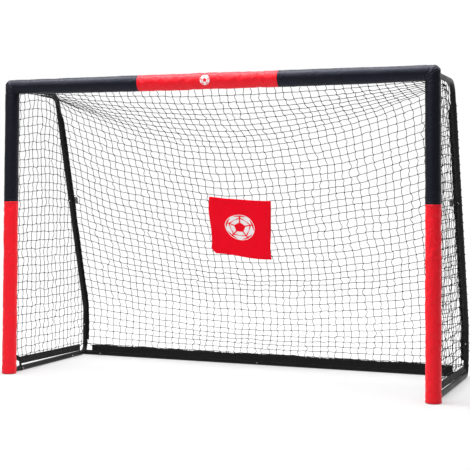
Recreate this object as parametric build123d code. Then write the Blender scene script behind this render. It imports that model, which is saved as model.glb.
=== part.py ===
from build123d import *
import math
import os

os.makedirs("parts", exist_ok=True)

# A youth soccer goal: a padded front frame, a bare steel rear frame that pushes
# together with snap buttons, and a net. Millimetres, +X to the goal's right seen
# from the front, +Y to the rear, +Z up. The origin is on the ground, in the
# middle of the goal's width and depth.

# Outer size, over the padding and the rear bindings
WIDTH = 2400.0
DEPTH = 904.0
HEIGHT = 1600.0

# Padding on the front frame
PAD_R = 38.0
COVER_WALL = 1.5
SOFT_GAP = 0.2
CROSSBAR_RED = 775.0
POST_RED = 935.0
COVER_FOOT = 3.0
FOAM_FOOT = 32.0

# Steel tubes
FRONT_R = 19.0
REAR_R = 14.0
WALL = 1.2
FIT = 0.2
SPIGOT = 60.0
SPIGOT_ROOT = 3.0

# Fabric binding folded round the rear tubes
BINDING_WALL = 1.6
BINDING_FIN = 11.0
BINDING_FRONT = 2.0
BINDING_DROP = 130.0

# Places worked out from the outer size
HALF = WIDTH / 2 - PAD_R
FRONT_Y = -DEPTH / 2 + PAD_R
REAR_Y = DEPTH / 2 - REAR_R - SOFT_GAP - BINDING_WALL
BAR_Z = HEIGHT - PAD_R
GROUND_Z = REAR_R

# Where one tube ends and the next begins
ELBOW_ARM = 80.0
STUB_OUT = 75.0
FOOT_TOP = 34.0
FOOT_ARM = 90.0
CORNER_ARM = 150.0
INNER_STUB = 90.0
MID_JOINT_Z = 969.0

# Bends of the rear frame
UPPER_BEND_Y = 60.0
UPPER_BEND_R = 90.0
LOWER_BEND_Z = 280.0
LOWER_BEND_R = 100.0
CORNER_BEND_R = 42.0
BACK_TUBE_Y = REAR_Y - 14.0

# Snap buttons and their springs
BUTTON_R = 4.0
BUTTON_TIP = REAR_R + 3.0
BUTTON_HOLE_R = 4.2
BUTTON_AT = 30.0
LEAF_TOP = 10.2
LEAF = 0.8
LEAF_WIDTH = 10.0
LEAF_BACK = 6.0
LEAF_FRONT = 20.0
SPRING_TAIL = 26.0
SPRING_GAP = 0.3

# Foot caps
CAP_R = 33.0
CAP_H = 4.0

# Net, bands and straps
NET = 3.0
NET_GAP = 2.0
BAND = 2.5
BAND_HIGH = 37.0
BAND_SHORT = 65.0
HEM_LIFT = 14.0
EDGING = 2.0
EDGING_WIDE = 14.0
PANEL_WIDE = 354.0
PANEL_TALL = 384.0
PANEL = 1.2
PANEL_AT = (-60.0, 197.5, 796.0)
PANEL_LEAN = 29.5
PANEL_TURN = -5.0
STRAP = 1.6
STRAP_WIDE = 22.0
STRAP_GAP = 0.4
TIE_WIDE = 5.0
TAB_TALL = 41.0
TAB_WIDE = 18.0
TAIL_WIDE = 12.0
TAIL_BEND = 30.0
TAIL_LINE = ((-92.0, 1536.0), (-12.0, 1535.0), (58.0, 1490.0), (76.0, 1444.0))
TIE_Z = 60.0
RING_FLOOR_GAP = 2.8

slope = Vector(0, REAR_Y - UPPER_BEND_Y, LOWER_BEND_Z - BAR_Z).normalized()
slope_front = Vector(0, slope.Z, -slope.Y)


def slope_y(z):
    """The Y of the sloping rear tube's axis at height z."""
    return UPPER_BEND_Y + (BAR_Z - z) * slope.Y / -slope.Z


def rod(start, end, radius):
    """A solid round bar."""
    start, end = Vector(*start), Vector(*end)
    return extrude(Plane(start, z_dir=end - start) * Circle(radius), (end - start).length)


def pipe(start, end, radius, wall=WALL):
    return rod(start, end, radius) - rod(start, end, radius - wall)


def bent_rod(points, bends, radius):
    """A solid round bar along straight runs joined by tangent bends."""
    path = FilletPolyline(*points, radius=bends)
    return sweep(Plane(path @ 0, z_dir=path % 0) * Circle(radius), path=path)


def bent_pipe(points, bends, radius):
    return bent_rod(points, bends, radius) - bent_rod(points, bends, radius - WALL)


def slab(low, high):
    """A box from its lowest corner to its highest."""
    low, high = Vector(*low), Vector(*high)
    size = high - low
    return Pos(low + size / 2) * Box(size.X, size.Y, size.Z)


def plate(points, push):
    """A flat polygon pushed along a vector, which gives a thin closed panel."""
    push = Vector(*push)
    return extrude(make_face(Polyline(*points, close=True)), push.length, dir=push)


def spigot(seam, along, radius):
    """The reduced end of a tube, which pushes into the next tube beyond the seam."""
    seam, along = Vector(*seam), Vector(*along)
    outer = radius - WALL - FIT
    root = pipe(seam - along * SPIGOT_ROOT, seam, radius - WALL / 2, WALL / 2 + FIT + WALL)
    sleeve = pipe(seam - along * SPIGOT_ROOT, seam + along * SPIGOT, outer)
    return root + sleeve


def corner_rod(radius, foot_z, inner_x):
    """A round bar up the right post's axis, round the top corner, along the crossbar."""
    corner = (HALF, FRONT_Y, BAR_Z)
    up = rod((HALF, FRONT_Y, foot_z), corner, radius)
    across = rod(corner, (inner_x, FRONT_Y, BAR_Z), radius)
    return up + across + Pos(corner) * Sphere(radius)


def mitre_half(keep_post):
    """Everything on the post's side, or the crossbar's, of the top corner's mitre."""
    reach = 2 * HEIGHT
    corner = Vector(HALF, 0, BAR_Z)
    down = Vector(1, 0, -1).normalized() * (1 if keep_post else -1)
    plane = Plane(corner + down * SOFT_GAP / 2, x_dir=(0, 1, 0), z_dir=down)
    return extrude(plane * Rectangle(reach, reach), reach)


def mirrored(shapes):
    """The left-hand twins of right-hand shapes."""
    return [mirror(shape, about=Plane.YZ) for shape in shapes]


# ---------------------------------------------------------------- tubes, right side


def front_tubes():
    """The tubes of the padded post, with its foot connector and top elbow."""
    inner_x = HALF - ELBOW_ARM
    elbow_foot = BAR_Z - ELBOW_ARM
    stub_seam = FRONT_Y + STUB_OUT
    elbow = corner_rod(FRONT_R, elbow_foot, inner_x)
    elbow += rod((HALF, FRONT_Y, BAR_Z), (HALF, stub_seam, BAR_Z), REAR_R)
    elbow -= corner_rod(FRONT_R - WALL, elbow_foot, inner_x)
    elbow -= rod((HALF, FRONT_Y, BAR_Z), (HALF, stub_seam, BAR_Z), REAR_R - WALL)
    elbow += spigot((HALF, FRONT_Y, elbow_foot), (0, 0, -1), FRONT_R)
    elbow += spigot((inner_x, FRONT_Y, BAR_Z), (-1, 0, 0), FRONT_R)

    lower = pipe((HALF, FRONT_Y, FOOT_TOP), (HALF, FRONT_Y, POST_RED), FRONT_R)
    lower += spigot((HALF, FRONT_Y, POST_RED), (0, 0, 1), FRONT_R)
    upper = pipe((HALF, FRONT_Y, POST_RED), (HALF, FRONT_Y, elbow_foot), FRONT_R)

    arm_seam = FRONT_Y + FOOT_ARM
    bore_start = FRONT_Y + FRONT_R
    foot = rod((HALF, FRONT_Y, CAP_H), (HALF, FRONT_Y, FOOT_TOP), FRONT_R)
    foot += rod((HALF, FRONT_Y, GROUND_Z), (HALF, arm_seam, GROUND_Z), REAR_R)
    foot -= rod((HALF, bore_start, GROUND_Z), (HALF, arm_seam, GROUND_Z), REAR_R - WALL)
    foot += spigot((HALF, FRONT_Y, FOOT_TOP), (0, 0, 1), FRONT_R)
    outer_bar = pipe(
        (CROSSBAR_RED / 2, FRONT_Y, BAR_Z), (inner_x, FRONT_Y, BAR_Z), FRONT_R
    )
    return {
        "corner_elbow": elbow,
        "post_lower_tube": lower,
        "post_upper_tube": upper,
        "foot_connector": foot,
        "crossbar_tube": outer_bar,
    }


def crossbar_centre():
    """The middle tube of the crossbar, which pushes into the outer two."""
    red = CROSSBAR_RED / 2
    bar = pipe((-red, FRONT_Y, BAR_Z), (red, FRONT_Y, BAR_Z), FRONT_R)
    for end in (-1, 1):
        bar += spigot((end * red, FRONT_Y, BAR_Z), (end, 0, 0), FRONT_R)
    return bar


def rear_tubes():
    """The bare tubes: two rear tubes, the corner and the ground tubes."""
    mid = (HALF, slope_y(MID_JOINT_Z), MID_JOINT_Z)
    upper = bent_pipe(
        [(HALF, FRONT_Y + STUB_OUT, BAR_Z), (HALF, UPPER_BEND_Y, BAR_Z), mid],
        UPPER_BEND_R,
        REAR_R,
    )
    lower = bent_pipe(
        [mid, (HALF, REAR_Y, LOWER_BEND_Z), (HALF, REAR_Y, CORNER_ARM)],
        LOWER_BEND_R,
        REAR_R,
    )
    bend = [
        (HALF, REAR_Y, CORNER_ARM),
        (HALF, REAR_Y, GROUND_Z),
        (HALF, REAR_Y - CORNER_ARM, GROUND_Z),
    ]
    stub_x = HALF - INNER_STUB
    bore_x = HALF - REAR_R - SPIGOT_ROOT
    corner = bent_rod(bend, CORNER_BEND_R, REAR_R)
    corner += rod((HALF, BACK_TUBE_Y, GROUND_Z), (stub_x, BACK_TUBE_Y, GROUND_Z), REAR_R)
    corner -= bent_rod(bend, CORNER_BEND_R, REAR_R - WALL)
    corner -= rod((bore_x, BACK_TUBE_Y, GROUND_Z), (stub_x, BACK_TUBE_Y, GROUND_Z), REAR_R - WALL)
    side_ground = pipe(
        (HALF, FRONT_Y + FOOT_ARM, GROUND_Z), (HALF, REAR_Y - CORNER_ARM, GROUND_Z), REAR_R
    )
    back_ground = pipe((0, BACK_TUBE_Y, GROUND_Z), (stub_x, BACK_TUBE_Y, GROUND_Z), REAR_R)
    return {
        "rear_upper_tube": upper,
        "rear_lower_tube": lower,
        "rear_corner": corner,
        "side_ground_tube": side_ground,
        "rear_ground_tube": back_ground,
    }


# ---------------------------------------------------------------- snap joints

# Each locked joint of the right side: its seam, the way the inner tube goes in,
# the way the button points, and the two tubes.
SNAP_JOINTS = {
    "top": (
        Vector(HALF, FRONT_Y + STUB_OUT, BAR_Z),
        Vector(0, 1, 0),
        Vector(-1, 0, 0),
        "corner_elbow",
        "rear_upper_tube",
    ),
    "upright": (
        Vector(HALF, slope_y(MID_JOINT_Z), MID_JOINT_Z),
        slope,
        slope_front,
        "rear_upper_tube",
        "rear_lower_tube",
    ),
    "corner_up": (
        Vector(HALF, REAR_Y, CORNER_ARM),
        Vector(0, 0, 1),
        Vector(0, -1, 0),
        "rear_corner",
        "rear_lower_tube",
    ),
    "corner_side": (
        Vector(HALF, REAR_Y - CORNER_ARM, GROUND_Z),
        Vector(0, -1, 0),
        Vector(-1, 0, 0),
        "rear_corner",
        "side_ground_tube",
    ),
    "corner_back": (
        Vector(HALF - INNER_STUB, BACK_TUBE_Y, GROUND_Z),
        Vector(-1, 0, 0),
        Vector(0, -1, 0),
        "rear_corner",
        "rear_ground_tube",
    ),
    "foot": (
        Vector(HALF, FRONT_Y + FOOT_ARM, GROUND_Z),
        Vector(0, 1, 0),
        Vector(-1, 0, 0),
        "foot_connector",
        "side_ground_tube",
    ),
}

# The two halves of the back ground tube meet in the middle, the right one inside.
CENTRE_JOINT = (
    Vector(0, BACK_TUBE_Y, GROUND_Z),
    Vector(-1, 0, 0),
    Vector(0, -1, 0),
    "rear_ground_tube_right",
    "rear_ground_tube_left",
)


def snap_button():
    """A domed pin on a leaf. Local X runs along the tube, local Y out through its wall."""
    pin = Rot(-90, 0, 0) * Cylinder(
        BUTTON_R,
        BUTTON_TIP - LEAF_TOP + LEAF / 2,
        align=(Align.CENTER, Align.CENTER, Align.MIN),
    )
    pin = Pos(0, LEAF_TOP - LEAF / 2, 0) * pin
    pin = fillet(pin.edges().sort_by(Axis.Y)[-1], BUTTON_R / 2)
    leaf = slab(
        (-LEAF_BACK, LEAF_TOP - LEAF, -LEAF_WIDTH / 2),
        (LEAF_FRONT, LEAF_TOP, LEAF_WIDTH / 2),
    )
    return pin + leaf


def snap_spring():
    """The fixed leg along the far wall and the half-round bend up to the button's leaf."""
    bend = Circle(LEAF_TOP) - Circle(LEAF_TOP - LEAF)
    bend &= Pos(LEAF_TOP / 2, 0) * Rectangle(LEAF_TOP, 3 * LEAF_TOP)
    bend = Pos(LEAF_FRONT + SPRING_GAP, 0) * bend
    leg_long = SPRING_TAIL + LEAF_FRONT + SPRING_GAP
    leg = Pos(LEAF_FRONT + SPRING_GAP - leg_long / 2, LEAF / 2 - LEAF_TOP)
    leg = leg * Rectangle(leg_long, LEAF)
    return extrude(bend + leg, LEAF_WIDTH / 2, both=True)


def lock_joint(tubes, seam, along, out, inner_tube, outer_tube):
    """Adds a joint's spigot, drills both tubes, and returns its button and its spring."""
    at = seam + along * BUTTON_AT
    hole = rod(at, at + out * BUTTON_TIP, BUTTON_HOLE_R)
    tubes[inner_tube] = tubes[inner_tube] + spigot(seam, along, REAR_R) - hole
    tubes[outer_tube] = tubes[outer_tube] - hole
    place = Plane(at, x_dir=along, z_dir=along.cross(out)).location
    return place * snap_button(), place * snap_spring()


# ---------------------------------------------------------------- padding


def pad_shells(outer, inner, foot_z):
    """The sleeves of the padding between two radii: those of the right side and the middle."""
    red = CROSSBAR_RED / 2
    bend = corner_rod(outer, POST_RED, red) - corner_rod(inner, POST_RED, red)
    bend -= rod(
        (HALF, FRONT_Y, BAR_Z), (HALF, FRONT_Y + 2 * PAD_R, BAR_Z), REAR_R + SOFT_GAP
    )
    lower = rod((HALF, FRONT_Y, foot_z), (HALF, FRONT_Y, POST_RED - SOFT_GAP), outer)
    lower -= rod((HALF, FRONT_Y, foot_z), (HALF, FRONT_Y, POST_RED), inner)
    lower -= slab(
        (HALF - REAR_R - 1, FRONT_Y, 0), (HALF + REAR_R + 1, FRONT_Y + 2 * PAD_R, FOAM_FOOT)
    )
    end = red - SOFT_GAP
    middle = rod((-end, FRONT_Y, BAR_Z), (end, FRONT_Y, BAR_Z), outer)
    middle -= rod((-end, FRONT_Y, BAR_Z), (end, FRONT_Y, BAR_Z), inner)
    return {
        "post_lower": lower,
        "post_upper": bend & mitre_half(True),
        "crossbar_side": bend & mitre_half(False),
        "crossbar_centre": middle,
    }


def foot_cap():
    """A rubber disc under the post, with a rim round the foot connector."""
    disc = rod((HALF, FRONT_Y, 0), (HALF, FRONT_Y, CAP_H), CAP_R)
    disc = fillet(disc.edges().group_by(Axis.Z)[-1], CAP_H / 4)
    rim = rod((HALF, FRONT_Y, 0), (HALF, FRONT_Y, 3 * CAP_H), FRONT_R + CAP_H)
    rim -= rod((HALF, FRONT_Y, CAP_H), (HALF, FRONT_Y, 3 * CAP_H), FRONT_R + FIT)
    arm = rod((HALF, FRONT_Y, GROUND_Z), (HALF, FRONT_Y + FOOT_ARM, GROUND_Z), REAR_R + FIT)
    return disc + rim - arm


# ---------------------------------------------------------------- net

# The back net leaves the crossbar's rear underside and follows the rear tubes at
# each side. Between them it sags like a hammock, down to the hem over the back
# ground tube. The lines below are its (Y, Z) at the middle and at each side.
NET_TOP_OFFSET = 33.0
HEM_ABOVE = 2.0
NET_TOP_Y = FRONT_Y + NET_TOP_OFFSET
NET_TOP_Z = BAR_Z - NET_TOP_OFFSET
HEM_Z = GROUND_Z + REAR_R + HEM_ABOVE
NET_STATIONS = (450.0, 850.0)
NET_MIDDLE = ((-67.0, 1241.0), (178.0, 857.0), (386.0, 463.0), (427.0, 190.0))
NET_SIDE = ((45.0, 1503.0), (182.0, 1061.0), (329.0, 590.0), (422.0, 290.0))
hang = Vector(0, BACK_TUBE_Y - NET_TOP_Y, HEM_Z - NET_TOP_Z).normalized()
hang_front = Vector(0, hang.Z, -hang.Y)
HEM_TOP_Y = BACK_TUBE_Y - hang.Y * BAND_HIGH
HEM_TOP_Z = HEM_Z - hang.Z * BAND_HIGH
HEM_FRONT_Y = FRONT_Y + FOOT_ARM - STRAP_WIDE
NET_EDGE_X = HALF - REAR_R - BINDING_FIN - NET_GAP
SIDE_INSET = BUTTON_TIP + NET_GAP
EDGING_FOOT = HEM_Z + HEM_LIFT + BAND_HIGH + NET_GAP


def net_back():
    """The back net and its roof, as one thin folded sheet."""
    drop = hang * NET_GAP
    top = (NET_TOP_Y + drop.Y, NET_TOP_Z + drop.Z)
    low = (HEM_TOP_Y - drop.Y, HEM_TOP_Z - drop.Z)
    push = hang_front * NET
    lines = []
    for x in NET_STATIONS + (NET_EDGE_X,):
        share = (x / NET_EDGE_X) ** 2
        between = [
            (my + (sy - my) * share, mz + (sz - mz) * share)
            for (my, mz), (sy, sz) in zip(NET_MIDDLE, NET_SIDE)
        ]
        lines.append([Vector(x, *point) for point in [top, *between, low]])
    right = []
    for inner, outer in zip(lines, lines[1:]):
        for (a, b), (c, d) in zip(zip(inner, inner[1:]), zip(outer, outer[1:])):
            right += [plate([a, c, d], push), plate([a, d, b], push)]
    middle = []
    for a, b in zip(lines[0], lines[0][1:]):
        middle.append(plate([a, b, Vector(-b.X, b.Y, b.Z), Vector(-a.X, a.Y, a.Z)], push))
    pieces = middle + right + mirrored(right)
    return pieces[0].fuse(*pieces[1:]).clean()


def net_side():
    """A flat net filling one side, between the post, the rear tubes and the hem."""
    x = HALF - NET / 2
    front = FRONT_Y + PAD_R + NET_GAP + EDGING_WIDE
    turn = math.acos(slope.Y)
    bend_y = UPPER_BEND_Y - UPPER_BEND_R * math.tan(turn / 2)
    bend_z = BAR_Z - UPPER_BEND_R
    reach = UPPER_BEND_R - SIDE_INSET
    knee = Vector(0, REAR_Y, LOWER_BEND_Z) + slope_front * SIDE_INSET
    rear = REAR_Y - SIDE_INSET
    outline = [(x, front, EDGING_FOOT), (x, front, BAR_Z - SIDE_INSET)]
    for share in (0, 0.5, 1):
        angle = turn * share
        outline.append((x, bend_y + reach * math.sin(angle), bend_z + reach * math.cos(angle)))
    outline.append((x, knee.Y, knee.Z))
    outline.append((x, rear, LOWER_BEND_Z - LOWER_BEND_R / 4))
    outline.append((x, rear, HEM_Z + BAND_HIGH + NET_GAP))
    return plate(outline, (NET, 0, 0))


def net_panel():
    """A flat rectangle of fabric sewn, a little askew, to the front of the back net."""
    lean = math.radians(PANEL_LEAN)
    plane = Plane(PANEL_AT, x_dir=(1, 0, 0), z_dir=(0, -math.cos(lean), -math.sin(lean)))
    return extrude(plane * Rot(0, 0, PANEL_TURN) * Rectangle(PANEL_WIDE, PANEL_TALL), PANEL)


def hem_back():
    """The fabric band along the foot of the back net."""
    end = HALF - BAND_SHORT
    low = (BACK_TUBE_Y, HEM_Z)
    high = (HEM_TOP_Y, HEM_TOP_Z)
    return plate([(-end, *low), (end, *low), (end, *high), (-end, *high)], hang_front * BAND)


def hem_side():
    """The fabric band along the foot of a side net, which rises towards the post."""
    x = HALF - BAND / 2
    rear = REAR_Y - BAND_SHORT
    lift = HEM_Z + HEM_LIFT
    outline = [
        (x, HEM_FRONT_Y, lift),
        (x, rear, HEM_Z),
        (x, rear, HEM_Z + BAND_HIGH),
        (x, HEM_FRONT_Y, lift + BAND_HIGH),
    ]
    return plate(outline, (BAND, 0, 0))


def binding():
    """Fabric folded round the rear half of the rear tube, with a flat fin inwards."""
    top_z = BAR_Z - BINDING_DROP
    top = (HALF, slope_y(top_z), top_z)
    foot = (HALF, REAR_Y, HEM_Z + BAND_HIGH + STRAP_WIDE)
    path = FilletPolyline(top, (HALF, REAR_Y, LOWER_BEND_Z), foot, radius=LOWER_BEND_R)
    inner = REAR_R + SOFT_GAP
    outer = inner + BINDING_WALL
    section = Circle(outer) - Circle(inner)
    section &= Pos(0, BINDING_FRONT - outer) * Rectangle(3 * outer, 2 * outer)
    fin_start = inner + BINDING_WALL / 2
    fin = Pos(-fin_start - BINDING_FIN / 2, -BAND / 2) * Rectangle(BINDING_FIN, BAND)
    return sweep(Plane(top, x_dir=(1, 0, 0), z_dir=slope) * (section + fin), path=path)


def front_edging():
    """Tape that holds the net's front edge: behind the right post, under the crossbar."""
    start_y = FRONT_Y + PAD_R + SOFT_GAP
    post_tape = slab(
        (HALF - EDGING / 2, start_y, EDGING_FOOT),
        (HALF + EDGING / 2, start_y + EDGING_WIDE, BAR_Z - SIDE_INSET),
    )
    top = Vector(0, NET_TOP_Y, NET_TOP_Z)
    high = tuple(top - hang * EDGING_WIDE / 4)[1:]
    low = tuple(top + hang * NET_GAP / 2)[1:]
    end = NET_EDGE_X
    bar_tape = plate([(-end, *high), (end, *high), (end, *low), (-end, *low)], hang_front * EDGING)
    return post_tape, bar_tape


def straps():
    """The right side's straps: they tie the hems down, and one bridges the top bend."""
    ring_r = REAR_R + SOFT_GAP + STRAP
    half = STRAP / 2
    front = HEM_FRONT_Y
    ground = pipe((HALF, front, GROUND_Z), (HALF, front + STRAP_WIDE, GROUND_Z), ring_r, STRAP)
    ground += slab(
        (HALF - half, front, GROUND_Z + ring_r - half),
        (HALF + half, front + STRAP_WIDE, HEM_Z + HEM_LIFT - NET_GAP / 2 - STRAP_GAP),
    )
    ground -= slab((0, -DEPTH, -HEIGHT), (WIDTH, DEPTH, RING_FLOOR_GAP))
    post = slab(
        (HALF - half, FRONT_Y + PAD_R + STRAP_GAP, HEM_Z + HEM_LIFT),
        (HALF + half, HEM_FRONT_Y - STRAP_GAP, HEM_Z + HEM_LIFT + STRAP_WIDE),
    )
    ties = pipe((HALF, REAR_Y, TIE_Z), (HALF, REAR_Y, TIE_Z + TIE_WIDE), ring_r, STRAP)
    ties += slab(
        (HALF - half, REAR_Y - BAND_SHORT + STRAP_GAP, TIE_Z),
        (HALF + half, REAR_Y - ring_r + half, TIE_Z + TIE_WIDE),
    )
    back_end = HEM_TOP_Y + hang.Y * BAND_HIGH / 4
    ties += slab(
        (HALF - BAND_SHORT + STRAP_GAP, back_end - half, TIE_Z),
        (HALF, back_end + half, TIE_Z + TIE_WIDE),
    ) - rod((HALF, REAR_Y, TIE_Z), (HALF, REAR_Y, TIE_Z + TIE_WIDE), ring_r - STRAP)
    tab_x = HALF - REAR_R - BINDING_FIN - 3 * STRAP - TAB_WIDE / 2
    tab_z = MID_JOINT_Z - BUTTON_AT
    tab = Plane((tab_x, slope_y(tab_z), tab_z), x_dir=(1, 0, 0), z_dir=slope_front)
    tail_x = HALF - REAR_R - BINDING_FIN / 2
    tail = FilletPolyline(*[(tail_x, y, z) for y, z in TAIL_LINE], radius=TAIL_BEND)
    tail_plane = Plane(tail @ 0, x_dir=(1, 0, 0), z_dir=tail % 0)
    return [
        ground,
        post,
        ties,
        extrude(tab * Rectangle(TAB_WIDE, TAB_TALL), BAND),
        sweep(tail_plane * Rectangle(BAND, TAIL_WIDE), path=tail),
    ]


# ---------------------------------------------------------------- the whole goal


def write(name, shapes):
    """One STEP file for one node, which may hold several solids."""
    solids = [solid for shape in shapes for solid in shape.solids()]
    body = solids[0] if len(solids) == 1 else Compound(children=solids)
    body.label = name
    export_step(body, f"parts/{name}.step")


right_tubes = front_tubes() | rear_tubes()
right = {}
right_springs = []
for place, joint in SNAP_JOINTS.items():
    button, spring = lock_joint(right_tubes, *joint)
    right[f"snap_button_{place}"] = [button]
    right_springs.append(spring)
for name, tube in right_tubes.items():
    right[name] = [tube]

foam = pad_shells(PAD_R - COVER_WALL - SOFT_GAP, FRONT_R + SOFT_GAP, FOAM_FOOT)
cover = pad_shells(PAD_R, PAD_R - COVER_WALL, COVER_FOOT)
right["post_foam"] = [foam["post_lower"], foam["post_upper"]]
right["post_cover_lower"] = [cover["post_lower"]]
right["post_cover_upper"] = [cover["post_upper"]]
right["crossbar_cover"] = [cover["crossbar_side"]]
right["foot_cap"] = [foot_cap()]
right["net_side"] = [net_side()]
right["net_hem_side"] = [hem_side()]
right["net_binding"] = [binding()]

nodes = {}
for name, shapes in right.items():
    nodes[f"{name}_right"] = shapes
    nodes[f"{name}_left"] = mirrored(shapes)

centre_tubes = {tube: nodes[tube][0] for tube in CENTRE_JOINT[3:]}
centre_button, centre_spring = lock_joint(centre_tubes, *CENTRE_JOINT)
for name, tube in centre_tubes.items():
    nodes[name] = [tube]
nodes["snap_button_back_centre"] = [centre_button]
nodes["snap_springs"] = right_springs + mirrored(right_springs) + [centre_spring]

bar_foam = [foam["crossbar_side"]]
nodes["crossbar_tube_centre"] = [crossbar_centre()]
nodes["crossbar_foam"] = bar_foam + [foam["crossbar_centre"]] + mirrored(bar_foam)
nodes["crossbar_cover_centre"] = [cover["crossbar_centre"]]

post_tape, bar_tape = front_edging()
nodes["net_back"] = [net_back()]
nodes["net_panel"] = [net_panel()]
nodes["net_hem_back"] = [hem_back()]
nodes["net_front_edging"] = [post_tape, bar_tape] + mirrored([post_tape])
nodes["net_straps"] = straps() + mirrored(straps())

for name, shapes in nodes.items():
    write(name, shapes)
print(len(nodes), "nodes")
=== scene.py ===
import math

import bpy
import numpy as np
from mathutils import Matrix, Vector


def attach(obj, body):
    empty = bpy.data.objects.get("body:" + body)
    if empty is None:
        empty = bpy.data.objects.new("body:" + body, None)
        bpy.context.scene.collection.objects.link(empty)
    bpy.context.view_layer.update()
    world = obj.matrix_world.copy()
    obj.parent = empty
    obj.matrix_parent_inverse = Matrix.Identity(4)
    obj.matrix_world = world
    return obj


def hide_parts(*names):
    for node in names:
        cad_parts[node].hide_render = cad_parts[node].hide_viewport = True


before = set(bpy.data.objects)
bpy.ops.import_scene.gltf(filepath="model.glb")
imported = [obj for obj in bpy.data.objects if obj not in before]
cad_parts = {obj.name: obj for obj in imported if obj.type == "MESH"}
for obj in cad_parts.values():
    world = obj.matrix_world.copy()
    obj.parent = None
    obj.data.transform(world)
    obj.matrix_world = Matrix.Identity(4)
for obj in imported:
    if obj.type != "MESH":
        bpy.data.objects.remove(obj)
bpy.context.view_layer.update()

# ------------------------------------------------------------------ sizes, in metres

POST_X = 1.162
POST_Y = -0.414
BAR_Z = 1.562
REAR_Y = 0.4362
BACK_TUBE_Y = 0.4222
TUBE_R = 0.014
PAD_R = 0.038
POST_RED = 0.935
BAR_RED = 0.3875
SEAM_GAP = 0.0002
COVER_WALL = 0.0012
FOAM_R = 0.0338
FOAM_BORE = 0.0193

# The rear tube's way down, the way square to it at its back, and its run back per metre of drop.
SLOPE = np.array([0.0, 0.2816, -0.9595])
SLOPE_BACK = np.array([0.0, 0.9595, 0.2816])
SLOPE_RUN = 0.2934
SLOPE_TOP_Y = 0.06
TUBE_SIDE = np.array([1.0, 0.0, 0.0])

CELL = 0.045
FOOT_HEM = 0.05
TWINE_R = 0.00155
KNOT_R = 0.0034
NET_X = 1.135
NET_TOP = (-0.381, 1.527)
NET_FOOT = (0.4045, 0.0655)
COVER_AROUND, COVER_PITCH = 48, 0.008
HEM_SEAM = 0.0095
FLAP_AT = 0.93
SAG = 0.0075
SAG_HALF = 1.13

# ------------------------------------------------------------------ finishes


def add_node(tree, kind, inputs=None, **settings):
    """A node in a tree, with its settings, and each input linked or given a value."""
    node = tree.nodes.new(kind)
    for key, value in settings.items():
        setattr(node, key, value)
    for key, value in (inputs or {}).items():
        if isinstance(value, bpy.types.NodeSocket):
            tree.links.new(value, node.inputs[key])
        else:
            node.inputs[key].default_value = value
    return node


class Finish:
    """A procedural material, built up from small node steps."""

    def __init__(self, name, **shader):
        self.material = bpy.data.materials.new(name)
        self.material.use_nodes = True
        self.tree = self.material.node_tree
        self.shader = self.tree.nodes["Principled BSDF"]
        for socket, value in shader.items():
            self.shader.inputs[socket.replace("_", " ")].default_value = value

    def add(self, kind, inputs=None, **settings):
        return add_node(self.tree, kind, inputs, **settings)

    def place(self, kind="Object"):
        return self.add("ShaderNodeTexCoord").outputs[kind]

    def stretched(self, where, scale):
        return self.add("ShaderNodeMapping", {"Vector": where, "Scale": scale}).outputs[0]

    def noise(self, where, scale, detail=3.0, roughness=0.55):
        inputs = {"Vector": where, "Scale": scale, "Detail": detail, "Roughness": roughness}
        return self.add("ShaderNodeTexNoise", inputs).outputs["Fac"]

    def bands(self, where, pitch, direction="X"):
        inputs = {"Vector": where, "Scale": 2 * math.pi / (20 * pitch)}
        node = self.add("ShaderNodeTexWave", inputs, bands_direction=direction)
        return node.outputs["Fac"]

    def calc(self, operation, first, second=0.0, third=0.0):
        inputs = {0: first, 1: second, 2: third}
        return self.add("ShaderNodeMath", inputs, operation=operation).outputs[0]

    def span(self, value, low, high, out_low=0.0, out_high=1.0):
        inputs = {0: value, 1: low, 2: high, 3: out_low, 4: out_high}
        return self.add("ShaderNodeMapRange", inputs).outputs[0]

    def blend(self, amount, first, second):
        node = self.add("ShaderNodeMix", {0: amount, 6: first, 7: second}, data_type="RGBA")
        return node.outputs[2]

    def bump(self, height, distance, strength=1.0):
        inputs = {"Height": height, "Distance": distance, "Strength": strength}
        linked = self.shader.inputs["Normal"].links
        if linked:
            inputs["Normal"] = linked[0].from_socket
        node = self.add("ShaderNodeBump", inputs)
        self.tree.links.new(node.outputs[0], self.shader.inputs["Normal"])

    def drive(self, socket, value):
        self.tree.links.new(value, self.shader.inputs[socket])


def rgb(red, green, blue):
    """A screen colour, 0 to 255, as a linear RGBA."""
    linear = [((c / 255 + 0.055) / 1.055) ** 2.4 if c > 10 else c / 3294 for c in (red, green, blue)]
    return (*linear, 1.0)


def powder_coat(name):
    """Satin black powder coat: orange peel, faint dust, and small rubbed scratches."""
    tone, roughness = (11, 11, 13), 0.4
    coat = Finish(name, Specular_IOR_Level=0.2, Coat_Weight=0.03, Coat_Roughness=0.25)
    where = coat.place()
    cloud = coat.noise(where, 9.0, 4.0)
    scratch = coat.noise(coat.stretched(where, (60.0, 60.0, 14.0)), 3.0, 9.0, 0.75)
    scratch = coat.span(scratch, 0.66, 0.74)
    dust = coat.span(coat.noise(where, 160.0, 6.0, 0.7), 0.52, 0.85, 0.0, 0.25)
    colour = coat.blend(cloud, rgb(*[c * 0.8 for c in tone]), rgb(*[c * 1.35 for c in tone]))
    colour = coat.blend(dust, colour, rgb(40, 40, 42))
    colour = coat.blend(coat.calc("MULTIPLY", scratch, 0.3), colour, rgb(74, 74, 77))
    coat.drive("Base Color", colour)
    coat.drive("Roughness", coat.span(cloud, 0.3, 0.7, roughness, roughness + 0.14))
    coat.bump(coat.noise(where, 420.0, 2.0), 0.00012, 0.5)
    coat.bump(scratch, -0.00005, 0.6)
    return coat.material


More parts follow.
